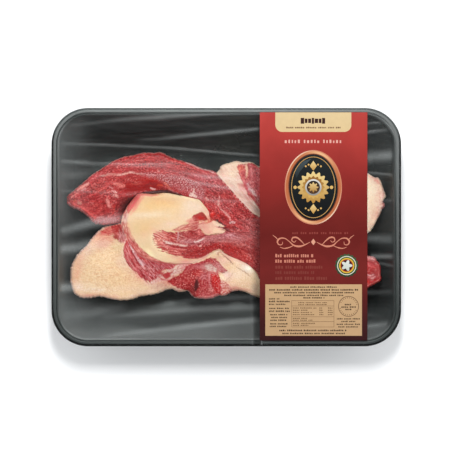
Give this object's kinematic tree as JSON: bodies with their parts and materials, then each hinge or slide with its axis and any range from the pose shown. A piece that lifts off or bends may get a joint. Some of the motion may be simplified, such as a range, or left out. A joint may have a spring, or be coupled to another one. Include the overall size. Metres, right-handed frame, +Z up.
{
  "type": "film-sealed tray pack of raw beef brisket",
  "caption": "Black plastic tray of raw beef brisket slabs with fat and lean, sealed under clear film, with a broad red label band across it.",
  "frame": {"origin": "middle of the tray's flat base, which is also the bottom centre of the whole pack's box", "axes": "+X along the tray's long side, towards the label; +Y towards the label's cream tab; +Z up, out through the film"},
  "size_m": [0.264, 0.18, 0.0412],
  "materials": {
    "tray_plastic": "black thermoformed sheet, satin gloss",
    "clear_film": "clear, glossy, with tension wrinkles",
    "label_print": "coated paper, red fading to dark maroon, with cream, gold and tan fields",
    "beef": "moist raw lean meat with fibres and marbling",
    "beef_fat": "moist cream fat with a granular surface"
  },
  "bodies": {
    "root": {"tray": "tray_plastic", "film": "clear_film", "label": "label_print", "brisket_lean_strip": "beef", "brisket_centre_slab": "beef", "brisket_lower_slab": "beef_fat", "brisket_corner_slab": "beef_fat"}
  },
  "joints": []
}
